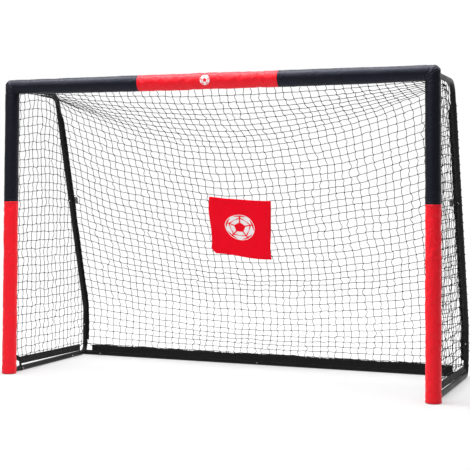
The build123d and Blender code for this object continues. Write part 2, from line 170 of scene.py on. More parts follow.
def zinc(name):
    """Bright zinc plate with fine brushing and a few dull spots."""
    plate = Finish(name, Metallic=1.0)
    where = plate.place()
    brush = plate.noise(plate.stretched(where, (900.0, 60.0, 900.0)), 2.0, 5.0)
    spots = plate.span(plate.noise(where, 260.0, 5.0, 0.7), 0.5, 0.75)
    plate.drive("Base Color", plate.blend(spots, rgb(186, 188, 190), rgb(112, 114, 118)))
    plate.drive("Roughness", plate.span(brush, 0.3, 0.7, 0.16, 0.36))
    plate.bump(brush, 0.00005, 0.5)
    return plate.material


def rubber(name):
    """Black moulded rubber with a fine grain and scuffed dust."""
    foot = Finish(name, Specular_IOR_Level=0.35)
    where = foot.place()
    grain = foot.noise(where, 900.0, 3.0)
    scuff = foot.span(foot.noise(where, 70.0, 8.0, 0.7), 0.55, 0.8, 0.0, 0.6)
    foot.drive("Base Color", foot.blend(scuff, rgb(24, 24, 25), rgb(78, 76, 74)))
    foot.drive("Roughness", foot.span(grain, 0.3, 0.7, 0.62, 0.82))
    foot.bump(grain, 0.0002, 0.6)
    return foot.material


def cell_foam(name):
    """Grey closed-cell foam."""
    foam = Finish(name, Roughness=0.95, Specular_IOR_Level=0.2)
    where = foam.place()
    cells = foam.add("ShaderNodeTexVoronoi", {"Vector": where, "Scale": 700.0}).outputs[0]
    foam.drive("Base Color", foam.blend(cells, rgb(64, 66, 70), rgb(104, 106, 110)))
    foam.bump(cells, 0.0005, 0.7)
    return foam.material


def ball_mark(finish, where, radius):
    """A mask for a plain printed ball: a disc with its patches and seams left bare."""
    parts = finish.add("ShaderNodeSeparateXYZ", {0: where})
    reach = finish.add("ShaderNodeVectorMath", {0: where}, operation="LENGTH").outputs["Value"]
    reach = finish.calc("DIVIDE", reach, radius)
    turn = finish.calc("ARCTAN2", parts.outputs[0], parts.outputs[1])
    fifth = 2 * math.pi / 5
    turned = finish.calc("WRAP", turn, fifth / 2, -fifth / 2)
    forward = finish.calc("MULTIPLY", reach, finish.calc("COSINE", turned))
    aside = finish.calc("MULTIPLY", reach, finish.calc("SINE", turned))
    turned = finish.calc("WRAP", finish.calc("ADD", turn, fifth / 2), fifth / 2, -fifth / 2)
    flat = finish.calc("MULTIPLY", reach, finish.calc("COSINE", turned))
    middle_patch = finish.calc("LESS_THAN", flat, 0.33)
    spoke_seam = finish.calc("COMPARE", aside, 0.0, 0.045)
    bare = finish.calc("MAXIMUM", middle_patch, spoke_seam)
    rim_patch = finish.calc("GREATER_THAN", forward, 0.84)
    bare = finish.calc("MAXIMUM", bare, rim_patch)
    ring_seam = finish.calc("COMPARE", flat, 0.62, 0.04)
    corner = finish.calc("MULTIPLY", ring_seam, finish.calc("GREATER_THAN", reach, 0.62))
    bare = finish.calc("MAXIMUM", bare, corner)
    disc = finish.calc("LESS_THAN", reach, 1.0)
    inside = finish.calc("MULTIPLY", finish.calc("SUBTRACT", 1.0, bare), disc)
    rim = finish.calc("COMPARE", reach, 0.975, 0.025)
    return finish.calc("MAXIMUM", inside, rim)


def print_over(finish, colour, mask, roughness):
    """White ink laid over a base colour, slightly worn, with a softer gloss."""
    where = finish.place("UV")
    wear = finish.span(finish.noise(where, 240.0, 6.0, 0.7), 0.3, 0.42)
    ink = finish.calc("MULTIPLY", mask, wear)
    finish.drive("Base Color", finish.blend(ink, colour, rgb(244, 243, 243)))
    finish.drive("Roughness", finish.calc("SUBTRACT", roughness, finish.calc("MULTIPLY", ink, 0.12)))


def cover_cloth(name, dark, light, mark_at=None, tint=(1, 1, 1, 1)):
    """Coated polyester: a plain weave, soft creases and, where mark_at is given, a print."""
    gloss = 0.4
    cloth = Finish(name, Specular_IOR_Level=0.27, Sheen_Weight=0.05, Sheen_Roughness=0.35)
    cloth.shader.inputs["Specular Tint"].default_value = tint
    where = cloth.place("UV")
    solid = cloth.place()
    weft = cloth.bands(where, 0.0011, "X")
    warp = cloth.bands(where, 0.0011, "Y")
    weave = cloth.calc("MAXIMUM", weft, warp)
    cloud = cloth.noise(solid, 14.0, 5.0, 0.6)
    crease = cloth.noise(solid, 38.0, 4.0, 0.6)
    fine = cloth.noise(solid, 130.0, 4.0, 0.6)
    colour = cloth.blend(cloud, rgb(*dark), rgb(*light))
    shade = cloth.span(weave, 0.2, 1.0, 0.0, 0.18)
    colour = cloth.blend(shade, colour, rgb(*[c * 0.62 for c in dark]))
    rough = cloth.span(fine, 0.3, 0.7, gloss, gloss + 0.16)
    if mark_at is None:
        cloth.drive("Base Color", colour)
        cloth.drive("Roughness", rough)
    else:
        centre = cloth.add("ShaderNodeVectorMath", {0: where, 1: mark_at}, operation="SUBTRACT")
        upright = {"Vector": centre.outputs[0], "Rotation": (0, 0, -math.pi / 2)}
        centre = cloth.add("ShaderNodeMapping", upright)
        print_over(cloth, colour, ball_mark(cloth, centre.outputs[0], 0.027), rough)
    cloth.bump(crease, 0.0022, 0.55)
    cloth.bump(fine, 0.0006, 0.4)
    cloth.bump(weave, 0.00016, 0.5)
    return cloth.material


def panel_cloth(name):
    """The smooth red net panel, with its white ball print."""
    cloth = Finish(name, Specular_IOR_Level=0.06, Sheen_Weight=0.02)
    where = cloth.place("UV")
    weave = cloth.calc("MAXIMUM", cloth.bands(where, 0.0009, "X"), cloth.bands(where, 0.0009, "Y"))
    cloud = cloth.noise(where, 12.0, 4.0)
    colour = cloth.blend(cloud, rgb(240, 0, 30), rgb(250, 4, 36))
    centre = cloth.add("ShaderNodeVectorMath", {0: where, 1: (0.18, 0.2, 0.0)}, operation="SUBTRACT")
    rough = cloth.span(cloud, 0.3, 0.7, 0.6, 0.7)
    print_over(cloth, colour, ball_mark(cloth, centre.outputs[0], 0.088), rough)
    cloth.bump(cloth.noise(where, 60.0, 4.0), 0.0008, 0.4)
    cloth.bump(weave, 0.00012, 0.5)
    return cloth.material


def twine_cloth(name):
    """Dark braided polyester twine: a slanted lay along each strand, with a faint fuzz."""
    twine = Finish(name, Specular_IOR_Level=0.1, Sheen_Weight=0.03, Roughness=0.8)
    run = twine.add("ShaderNodeAttribute", attribute_name="run").outputs["Fac"]
    turn = twine.add("ShaderNodeAttribute", attribute_name="turn").outputs["Fac"]
    solid = twine.place()
    lay = twine.calc("MULTIPLY_ADD", run, 420.0, turn)
    lay = twine.calc("PINGPONG", lay, 0.5)
    fuzz = twine.noise(solid, 900.0, 3.0)
    tone = twine.blend(fuzz, rgb(12, 12, 14), rgb(34, 34, 37))
    tone = twine.blend(twine.calc("MULTIPLY", lay, 0.8), tone, rgb(22, 22, 25))
    twine.drive("Base Color", tone)
    twine.bump(lay, 0.0003, 0.8)
    twine.bump(fuzz, 0.0002, 0.5)
    return twine.material


def webbing(name, tone=(9, 9, 10), light=(24, 24, 26)):
    """Woven polypropylene tape: cross ribs over a herringbone ground, and specks of lint."""
    tape = Finish(name, Specular_IOR_Level=0.14, Sheen_Weight=0.04)
    where = tape.place("UV")
    ribs = tape.bands(where, 0.0021, "Y")
    warp = tape.bands(where, 0.0013, "X")
    weave = tape.calc("MULTIPLY", ribs, tape.calc("ADD", 0.5, warp))
    lint = tape.span(tape.noise(tape.place(), 220.0, 6.0, 0.7), 0.55, 0.8, 0.0, 0.5)
    colour = tape.blend(weave, rgb(*tone), rgb(*light))
    tape.drive("Base Color", tape.blend(lint, colour, rgb(44, 44, 47)))
    tape.drive("Roughness", tape.span(weave, 0.0, 1.0, 0.82, 0.6))
    tape.bump(weave, 0.0005, 0.8)
    return tape.material


def thread(name, tone):
    """Twisted sewing thread."""
    strand = Finish(name, Roughness=0.6, Sheen_Weight=0.3)
    twist = strand.noise(strand.place(), 1600.0, 2.0)
    strand.drive("Base Color", strand.blend(twist, rgb(*[c * 0.7 for c in tone]), rgb(*tone)))
    strand.bump(twist, 0.0002, 0.6)
    return strand.material


def floor_paint(name):
    """A plain white studio floor."""
    floor = Finish(name, Roughness=0.7, Specular_IOR_Level=0.1)
    floor.shader.inputs["Emission Color"].default_value = (1, 1, 1, 1)
    where = floor.place()
    depth = floor.add("ShaderNodeSeparateXYZ", {0: where}).outputs[1]
    glow = floor.span(depth, 0.0, 3.0, 0.34, 0.7)
    glow = floor.calc("ADD", glow, floor.span(depth, 3.0, 8.0, 0.0, 0.12))
    floor.drive("Emission Strength", glow)
    tone = floor.noise(where, 0.6, 2.0)
    floor.drive("Base Color", floor.blend(tone, rgb(160, 160, 161), rgb(164, 164, 165)))
    return floor.material


# ------------------------------------------------------------------ mesh helpers


def add_object(name, mesh):
    """An object in the scene, round a mesh, a lamp or a camera."""
    piece = bpy.data.objects.new(name, mesh)
    bpy.context.scene.collection.objects.link(piece)
    return piece


def grid_faces(rows, columns, loop, start=0, flip=False):
    """The quads of a grid of vertices, and each quad's (row, column) corners for its UVs."""
    wrap = columns if loop else columns - 1
    i, j = np.meshgrid(np.arange(rows - 1), np.arange(wrap), indexing="ij")
    i, j = i.ravel(), j.ravel()
    corners = [(i, j), (i, j + 1), (i + 1, j + 1), (i + 1, j)]
    if flip:
        corners.reverse()
    faces = np.stack([start + a * columns + b % columns for a, b in corners], 1)
    return faces, np.stack([np.stack(c, 1) for c in corners], 1)


def grid_normals(grid, loop):
    """Unit normals of a grid of points."""
    if loop:
        across = np.roll(grid, -1, 1) - np.roll(grid, 1, 1)
    else:
        across = np.gradient(grid, axis=1)
    along = np.gradient(grid, axis=0)
    normal = np.cross(across, along)
    return normal / (np.linalg.norm(normal, axis=-1, keepdims=True) + 1e-12)


def grid_uv(grid, loop):
    """Metric UVs: across and along the grid, with one more column where it closes."""
    wide = np.concatenate([grid, grid[:, :1]], 1) if loop else grid
    across = np.linalg.norm(np.diff(wide, axis=1), axis=-1).mean(0)
    along = np.linalg.norm(np.diff(grid, axis=0), axis=-1).mean(1)
    u = np.concatenate([[0], np.cumsum(across)])
    v = np.concatenate([[0], np.cumsum(along)])
    return u, v


def build(name, points, faces, uvs=None, material=None):
    """A mesh object from arrays of points, faces and the UV of each face corner."""
    mesh = bpy.data.meshes.new(name)
    mesh.from_pydata([tuple(p) for p in points], [], [tuple(int(k) for k in f) for f in faces])
    if uvs is not None:
        layer = mesh.uv_layers.new(name="UVMap")
        layer.data.foreach_set("uv", np.concatenate([np.asarray(u) for u in uvs]).ravel())
    mesh.polygons.foreach_set("use_smooth", [True] * len(mesh.polygons))
    if material:
        mesh.materials.append(material)
    mesh.update()
    return add_object(name, mesh)


def shell_arrays(grid, inward, outward=0.0, loop=False, start=0):
    """A closed skin round a grid: its outer face, its inner face and its edges."""
    rows, columns = grid.shape[:2]
    normal = grid_normals(grid, loop)
    outer = grid + normal * outward
    inner = grid - normal * inward
    count = rows * columns
    points = np.concatenate([outer.reshape(-1, 3), inner.reshape(-1, 3)])
    u, v = grid_uv(grid, loop)
    faces, uvs = [], []
    for first, flip in ((start, False), (start + count, True)):
        quads, corners = grid_faces(rows, columns, loop, first, flip)
        faces.extend(quads)
        uvs.extend(np.stack([u[corners[..., 1]], v[corners[..., 0]]], -1))

    def rim(line, marks):
        for (a, ua), (b, ub) in zip(zip(line[:-1], marks[:-1]), zip(line[1:], marks[1:])):
            faces.append(np.array([a, a + count, b + count, b]) + start)
            uvs.append(np.array([ua, ua + 0.001, ub + 0.001, ub]))

    index = np.arange(count).reshape(rows, columns)
    ring = (lambda r: np.concatenate([r, r[:1]])) if loop else (lambda r: r)
    bottom, top = ring(index[0]), ring(index[-1])
    rim(bottom, np.stack([u[: len(bottom)], np.full(len(bottom), v[0])], 1))
    rim(top[::-1], np.stack([u[: len(top)], np.full(len(top), v[-1])], 1)[::-1])
    if not loop:
        rim(index[::-1, 0], np.stack([np.full(rows, u[0]), v], 1)[::-1])
        rim(index[:, -1], np.stack([np.full(rows, u[-1]), v], 1))
    return points, faces, uvs


def shells(name, grids, material, inward, outward=0.0, loop=False):
    """One object out of several closed skins."""
    points, faces, uvs = [], [], []
    start = 0
    for grid in grids:
        p, f, uv = shell_arrays(grid, inward, outward, loop, start)
        points.append(p)
        faces.extend(f)
        uvs.extend(uv)
        start += len(p)
    return build(name, np.concatenate(points), faces, uvs, material)


def ride(piece, slot, *nodes, body="frame"):
    """Fixes a finished piece to its body and hides the nodes it stands for; slot is not used."""
    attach(piece, body)
    if nodes:
        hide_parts(*nodes)
    return piece


def mirror(points):
    """The left-hand twin of right-hand points, with its order turned to keep faces outward."""
    twin = points * np.array([-1.0, 1.0, 1.0])
    return twin[:, ::-1] if points.ndim == 3 else twin


def along_path(points, distances):
    """Points at distances along a polyline."""
    points = np.asarray(points, float)
    run = np.concatenate([[0], np.cumsum(np.linalg.norm(np.diff(points, axis=0), axis=1))])
    return np.stack([np.interp(distances, run, points[:, k]) for k in range(3)], 1)


def path_length(points):
    """The length of a polyline."""
    return np.linalg.norm(np.diff(np.asarray(points, float), axis=0), axis=1).sum()


def unit(vector):
    """A vector of length 1."""
    return vector / np.linalg.norm(vector)


def ring_run(grid):
    """How far each ring of a sleeve lies along it, from its first ring."""
    steps = np.linalg.norm(np.diff(grid, axis=0), axis=-1).mean(1)
    return np.concatenate([[0], np.cumsum(steps)])


def slope_y(height):
    """How far back the rear tube's axis is at a height on its slope."""
    return SLOPE_TOP_Y + (BAR_Z - height) * SLOPE_RUN


def soft_noise(shape, scale, amount, seed):
    """Smooth random bumps on a grid; scale is the size of a bump in grid steps."""
    source = np.random.default_rng(seed)
    coarse = [max(3, int(n / scale) + 3) for n in shape]
    values = source.normal(0, 1, coarse)
    axes = [np.linspace(0, c - 1.001, n) for c, n in zip(coarse, shape)]
    i, j = [np.floor(a).astype(int) for a in axes]
    s, t = [a - np.floor(a) for a in axes]
    s, t = s * s * (3 - 2 * s), t * t * (3 - 2 * t)
    s, t = s[:, None], t[None, :]
    low = values[np.ix_(i, j)] * (1 - t) + values[np.ix_(i, j + 1)] * t
    high = values[np.ix_(i + 1, j)] * (1 - t) + values[np.ix_(i + 1, j + 1)] * t
    return amount * (low * (1 - s) + high * s)


# ------------------------------------------------------------------ geometry-node trees


def node_tree(name, inputs):
    """An empty geometry tree with named inputs, and the means to add and join its nodes."""
    tree = bpy.data.node_groups.new(name, "GeometryNodeTree")
    tree.interface.new_socket("Geometry", in_out="INPUT", socket_type="NodeSocketGeometry")
    for label, kind in inputs.items():
        tree.interface.new_socket(label, in_out="INPUT", socket_type="NodeSocket" + kind)
    tree.interface.new_socket("Geometry", in_out="OUTPUT", socket_type="NodeSocketGeometry")
    given = tree.nodes.new("NodeGroupInput")

    def add(kind, inputs=None, **settings):
        return add_node(tree, kind, inputs, **settings)

    def close(geometry):
        smooth = add("GeometryNodeSetShadeSmooth", {"Geometry": geometry})
        real = add("GeometryNodeRealizeInstances", {"Geometry": smooth.outputs[0]})
        done = add(
            "GeometryNodeSetMaterial",
            {"Geometry": real.outputs[0], "Material": given.outputs["Finish"]},
        )
        out = tree.nodes.new("NodeGroupOutput")
        tree.links.new(done.outputs[0], out.inputs[0])
        return tree

    return given, add, close


def twine_tree():
    """Round twine along every line of a wire mesh, marked with its run and its turn."""
    inputs = {"Twine radius": "Float", "Sides": "Int", "Finish": "Material"}
    given, add, close = node_tree("twine_strands", inputs)
    line = add("GeometryNodeMeshToCurve", {"Mesh": given.outputs["Geometry"]})
    mark = add("GeometryNodeSplineParameter")
    line = add(
        "GeometryNodeStoreNamedAttribute",
        {"Geometry": line.outputs[0], "Name": "run", "Value": mark.outputs["Length"]},
        data_type="FLOAT",
    )
    ring = add(
        "GeometryNodeCurvePrimitiveCircle",
        {"Resolution": given.outputs["Sides"], "Radius": given.outputs["Twine radius"]},
    )
    ring_mark = add("GeometryNodeSplineParameter")
    ring = add(
        "GeometryNodeStoreNamedAttribute",
        {"Geometry": ring.outputs[0], "Name": "turn", "Value": ring_mark.outputs["Factor"]},
        data_type="FLOAT",
    )
    tube = add(
        "GeometryNodeCurveToMesh",
        {"Curve": line.outputs[0], "Profile Curve": ring.outputs[0], "Fill Caps": True},
    )
    return close(tube.outputs[0])


def knot_tree():
    """A small uneven knot on every point of a mesh."""
    inputs = {"Knot radius": "Float", "Seed": "Int", "Finish": "Material"}
    given, add, close = node_tree("net_knots", inputs)
    ball = add(
        "GeometryNodeMeshIcoSphere",
        {"Radius": given.outputs["Knot radius"], "Subdivisions": 2},
    )
    turn = add(
        "FunctionNodeRandomValue",
        {"Max": (6.28, 6.28, 6.28), "Seed": given.outputs["Seed"]},
        data_type="FLOAT_VECTOR",
    )
    size = add(
        "FunctionNodeRandomValue",
        {"Min": (0.75, 0.75, 0.75), "Max": (1.35, 1.1, 1.1), "Seed": given.outputs["Seed"]},
        data_type="FLOAT_VECTOR",
    )
    knots = add(
        "GeometryNodeInstanceOnPoints",
        {
            "Points": given.outputs["Geometry"],
            "Instance": ball.outputs[0],
            "Rotation": turn.outputs[0],
            "Scale": size.outputs[0],
        },
    )
    return close(knots.outputs[0])


def stitch_tree():
    """Short thread stitches along every line of a wire mesh."""
    inputs = {
        "Stitch pitch": "Float",
        "Stitch length": "Float",
        "Thread radius": "Float",
        "Finish": "Material",
    }
    given, add, close = node_tree("thread_stitches", inputs)
    line = add("GeometryNodeMeshToCurve", {"Mesh": given.outputs["Geometry"]})
    spaced = add(
        "GeometryNodeResampleCurve",
        {"Curve": line.outputs[0], "Length": given.outputs["Stitch pitch"]},
        mode="LENGTH",
    )
    tangent = add("GeometryNodeInputTangent")
    turn = add("FunctionNodeAlignRotationToVector", {"Vector": tangent.outputs[0]}, axis="Z")
    ball = add("GeometryNodeMeshUVSphere", {"Segments": 6, "Rings": 4, "Radius": 1.0})
    size = add(
        "ShaderNodeCombineXYZ",
        {
            "X": given.outputs["Thread radius"],
            "Y": given.outputs["Thread radius"],
            "Z": given.outputs["Stitch length"],
        },
    )
    stitches = add(
        "GeometryNodeInstanceOnPoints",
        {
            "Points": spaced.outputs[0],
            "Instance": ball.outputs[0],
            "Rotation": turn.outputs[0],
            "Scale": size.outputs[0],
        },
    )
    return close(stitches.outputs[0])


def grow(name, source, tree, **values):
    """Runs a geometry tree on a source mesh and keeps the result as a plain mesh."""
    modifier = source.modifiers.new("grow", "NODES")
    modifier.node_group = tree
    for item in tree.interface.items_tree:
        key = item.name.replace(" ", "_")
        if item.in_out == "INPUT" and key in values:
            modifier[item.identifier] = values[key]
    bpy.context.view_layer.update()
    depsgraph = bpy.context.evaluated_depsgraph_get()
    mesh = bpy.data.meshes.new_from_object(source.evaluated_get(depsgraph))
    mesh.name = name
    bpy.data.objects.remove(source)
    return add_object(name, mesh)


def wires(name, lines):
    """A mesh of loose edges, one chain for each line of points."""
    mesh = bpy.data.meshes.new(name)
    points, edges = [], []
    for line in lines:
        first = len(points)
        points.extend(tuple(float(c) for c in p) for p in line)
        edges.extend((k, k + 1) for k in range(first, first + len(line) - 1))
    mesh.from_pydata(points, edges, [])
    return add_object(name, mesh)


TWINE = twine_tree()
KNOTS = knot_tree()
STITCHES = stitch_tree()


def stitch(name, source_name, lines, pitch, length, radius, finish):
    """Rows of thread stitches along lines, as one plain mesh."""
    return grow(
        name,
        wires(source_name, lines),
        STITCHES,
        Stitch_pitch=pitch,
        Stitch_length=length,
        Thread_radius=radius,
        Finish=finish,
    )


# ------------------------------------------------------------------ the net


# The back net's middle line: the row, then its depth and height.
NET_MIDDLE = np.array(
    [
        (0, -0.381, 1.527),
        (2, -0.345, 1.446),
        (5, -0.230, 1.372),
        (10, -0.056, 1.232),
        (15, 0.083, 1.056),
        (20, 0.178, 0.857),
        (25, 0.291, 0.666),
        (29, 0.366, 0.512),
        (32, 0.394, 0.430),
        (36, 0.428, 0.271),
        (39, 0.425, 0.165),
        (41, 0.415, 0.122),
        (43, NET_FOOT[0], NET_FOOT[1]),
    ]
)
NET_EDGE = [
    (NET_X, -0.381, 1.533),
    (NET_X, -0.02, 1.538),
    (NET_X, 0.045, 1.503),
    (NET_X, 0.425, 0.28),
    (NET_X, 0.419, 0.066),
]
BACK_COLUMNS, BACK_ROWS = 52, 43


def back_net_knots():
    """The back net's knots. Each row sags between the rear tubes, the middle most."""
    row = np.arange(BACK_ROWS + 1)
    middle = np.stack([np.interp(row, NET_MIDDLE[:, 0], NET_MIDDLE[:, k]) for k in (1, 2)], 1)
    middle[1:-1] = (middle[:-2] + 2 * middle[1:-1] + middle[2:]) / 4
    edge = along_path(NET_EDGE, np.linspace(0, path_length(NET_EDGE), BACK_ROWS + 1))[:, 1:]
    across = np.linspace(-1, 1, BACK_COLUMNS + 1)
    share = (across**2)[:, None, None]
    knots = np.zeros((BACK_COLUMNS + 1, BACK_ROWS + 1, 3))
    knots[..., 0] = across[:, None] * NET_X
    knots[..., 1:] = middle[None] * (1 - share) + edge[None] * share
    shape = knots.shape[:2]
    loose = np.sin(np.linspace(0, math.pi, shape[0]))[:, None] ** 0.5
    loose = loose * np.sin(np.linspace(0, math.pi, shape[1]))[None, :] ** 0.5
    knots[..., 1] -= loose * (soft_noise(shape, 6, 0.009, 61) + soft_noise(shape, 3, 0.003, 62))
    knots[..., 2] += loose * (soft_noise(shape, 7, 0.006, 63) + soft_noise(shape, 3, 0.003, 64))
    knots[..., 0] += loose * (soft_noise(shape, 6, 0.005, 65) + soft_noise(shape, 3, 0.0035, 66))
    knots[:, -1, 2] += 0.001
    return knots


def side_net_lines():
    """The right side net: upright columns and level rows, cut off by the sloping tube."""
    source = np.random.default_rng(71)
    jog = source.normal(0, 0.0022, (40, 60, 3))
    front_y, top_z = POST_Y + PAD_R + 0.009, BAR_Z - 0.016
    rear = [(0.02, top_z), (0.055, 1.49), (0.413, 0.285), (0.4195, 0.06)]
    rear_y = np.array([y for y, z in rear])
    rear_z = np.array([z for y, z in rear])

    def end_y(z):
        return float(np.interp(-z, -rear_z, rear_y))

    def top_of(y):
        return top_z if y < rear_y[0] else float(np.interp(y, rear_y, rear_z))

    def low_of(y):
        return 0.074 - 0.012 * (y - front_y) / 0.75

    def put(y, z, c=None, r=None):
        share = min(1.0, max(0.0, (y - front_y) / (end_y(z) - front_y + 1e-6)))
        arch = float(np.interp(z, [0.1, 0.5, 0.9, 1.5], [0.0, -0.012, 0.012, 0.034]))
        sway = 0.006 * math.sin(5.1 * z + 2.0 * y) * math.sin(math.pi * share)
        x = POST_X - 0.001 - abs(sway)
        point = np.array([x, y, z + arch * math.sin(math.pi * share**1.3)])
        edge = min(1.0, 4 * share * (1 - share) * 3)
        if c is not None:
            point = point + jog[c, r] * edge
        return point

    lines, knots = [], []
    heights = np.arange(0.083, top_z - 0.02, CELL)
    columns = front_y + CELL * np.arange(1, 18) - 0.012
    for r, z in enumerate(heights):
        inside = [(c, y) for c, y in enumerate(columns) if y < end_y(z) - 0.012]
        line = [put(front_y, z)] + [put(y, z, c, r) for c, y in inside] + [put(end_y(z), z)]
        knots += line[1:-1]
        lines.append(line)
    for c, y in enumerate(columns):
        inside = [(r, z) for r, z in enumerate(heights) if y < end_y(z) - 0.012]
        line = [put(y, low_of(y))] + [put(y, z, c, r) for r, z in inside]
        line.append(put(min(y, end_y(top_of(y)) - 0.001), max(top_of(y), inside[-1][1] + 0.004)))
        lines.append(line)
    return lines, knots


def strand(points, bow, wave, seed):
    """A slack line through a row of knots. bow is the way it gives, wave how far."""
    source = np.random.default_rng(seed)
    out = [np.asarray(points[0])]
    for a, b in zip(points[:-1], points[1:]):
        a, b = np.asarray(a), np.asarray(b)
        give = np.asarray(bow) * source.normal(0, 1) + source.normal(0, 0.35, 3)
        kink = np.asarray(bow) * source.normal(0, 1)
        for share in (0.25, 0.5, 0.75):
            lift = 4 * share * (1 - share)
            swing = math.sin(2 * math.pi * share)
            out.append(a + (b - a) * share + wave * (give * lift + 0.6 * kink * swing))
        out.append(b)
    return np.array(out)


def net_pieces(name, lines, knots, finish, nodes, seed):
    """Strands and knots of one net, from its lines and its knots."""
    strands = grow(
        name, wires(name + "_lines", lines), TWINE, Twine_radius=TWINE_R, Sides=5, Finish=finish
    )
    ride(strands, "net_twine", *nodes)
    mesh = bpy.data.meshes.new(name + "_points")
    mesh.from_pydata([tuple(float(c) for c in p) for p in knots], [], [])
    dots = add_object(name + "_points", mesh)
    dots = grow(name + "_knots", dots, KNOTS, Knot_radius=KNOT_R, Seed=seed, Finish=finish)
    ride(dots, "net_twine")
    return strands


def make_nets():
    """The back net and both side nets. Gives the back net's knots, for the panel."""
    knots = back_net_knots()
    lines = [strand(knots[:, j], (0, 0.5, 1), 0.0014, 100 + j) for j in range(knots.shape[1])]
    lines += [strand(knots[i], (1, 0.3, 0), 0.0034, 300 + i) for i in range(knots.shape[0])]
    net_pieces("back_net", lines, knots[1:-1, :-1].reshape(-1, 3), TWINE_CLOTH, ["net_back"], 1)
    lines, dots = side_net_lines()
    for side, flip in (("right", 1), ("left", -1)):
        turned = [np.array(line) * [flip, 1, 1] for line in lines]
        slack = []
        for k, line in enumerate(turned):
            level = abs(line[0][2] - line[-1][2]) < abs(line[0][1] - line[-1][1])
            bow = (0.4, 0, 1) if level else (0.4, 1, 0)
            slack.append(strand(line, bow, 0.0014 if level else 0.003, 500 + k + flip))
        spots = np.array(dots) * [flip, 1, 1]
        net_pieces(f"side_net_{side}", slack, spots, TWINE_CLOTH, [f"net_side_{side}"], 2 + flip)
    return knots


# ------------------------------------------------------------------ padded covers


def ring_angles(around):
    """The angles of a ring's points, from +X round to +Y."""
    return np.arange(around) * 2 * math.pi / around


def straight_sleeve(length, around, pitch, radius=PAD_R, foot=None):
    """A sleeve along +Z from 0, as a grid of rings; foot lifts its rear lower edge."""
    angle = ring_angles(around)
    rings = int(round(length / pitch)) + 1
    share = np.linspace(0, 1, rings)[:, None]
    low = np.zeros(around) if foot is None else foot(angle)
    z = low + share * (length - low)
    x = np.broadcast_to(radius * np.cos(angle), z.shape)
    y = np.broadcast_to(radius * np.sin(angle), z.shape)
    return np.stack([x, y, z], -1)


def mitred_sleeve(start, around, pitch):
    """A post sleeve from z = start that turns over the corner and ends on its mitre."""
    angle = ring_angles(around)
    dx = PAD_R * np.cos(angle)
    dy = PAD_R * np.sin(angle)
    knee = BAR_Z - PAD_R - 0.012
    rings = int(round((knee - start) / pitch))
    levels = np.linspace(start, knee, rings, endpoint=False)
    rows = [np.stack([dx, dy, np.full(around, z)], 1) for z in levels]
    for share in np.linspace(0, 1, 15):
        run_up = BAR_Z - knee + np.minimum(dx, 0)
        over = np.maximum(dx, 0) * math.pi / 4
        run = share * (run_up + over)
        z = knee + np.minimum(run, run_up)
        bend = np.where(dx > 0, np.maximum(run - run_up, 0) / np.maximum(dx, 1e-9), 0)
        x = np.where(dx > 0, dx * np.cos(bend), dx)
        z = z + np.where(dx > 0, dx * np.sin(bend), 0)
        rows.append(np.stack([x, dy, z], 1))
    return np.array(rows)


def over_the_mitre(grid):
    """Swaps the post's way up for the crossbar's way along, about the corner's mitre."""
    x = grid[..., 2] - BAR_Z
    z = grid[..., 0] + BAR_Z
    return np.stack([x, grid[..., 1], z], -1)[:, ::-1]


def finer(grid):
    """Doubles a sleeve's grid both ways along smooth curves."""
    ahead, behind, beyond = np.roll(grid, -1, 1), np.roll(grid, 1, 1), np.roll(grid, -2, 1)
    between = (9 * (grid + ahead) - behind - beyond) / 16
    wide = np.stack([grid, between], 2).reshape(len(grid), -1, 3)
    longer = np.concatenate([2 * wide[:1] - wide[1:2], wide, 2 * wide[-1:] - wide[-2:-1]])
    out = np.zeros((2 * len(wide) - 1, wide.shape[1], 3))
    out[::2] = wide
    out[1::2] = (9 * (wide[:-1] + wide[1:]) - longer[:-3] - longer[3:]) / 16
    return out


def ring_noise(shape, scale, amount, seed):
    """Soft noise that meets itself round a sleeve."""
    rows, around = shape
    over = around // 4
    values = soft_noise((rows, around + over), scale, amount, seed)
    share = np.linspace(0, 1, over)[None, :]
    values[:, :over] = values[:, :over] * share + values[:, around:] * (1 - share)
    return values[:, :around]


def smooth_step(value, low, high):
    """0 below low, 1 above high, and an eased rise between."""
    share = np.clip((value - low) / (high - low), 0, 1)
    return share * share * (3 - 2 * share)


def creases(shape, run, wanted):
    """Sharp folds: where along, where round (in turns), slant, reach and depth of each."""
    lift = np.zeros(shape)
    turns = np.arange(shape[1]) / shape[1]
    for along, turn, slant, reach, depth in wanted:
        aside = ((turns - turn + 0.5) % 1 - 0.5) * 2 * math.pi * PAD_R
        ahead = run[:, None] - along - slant * aside[None, :]
        fade = np.exp(-((aside / reach) ** 2))[None, :]
        fold = 0.7 * np.exp(-(((ahead - 0.009) / 0.006) ** 2)) - np.exp(-((ahead / 0.0055) ** 2))
        lift += depth * fade * fold
    return lift


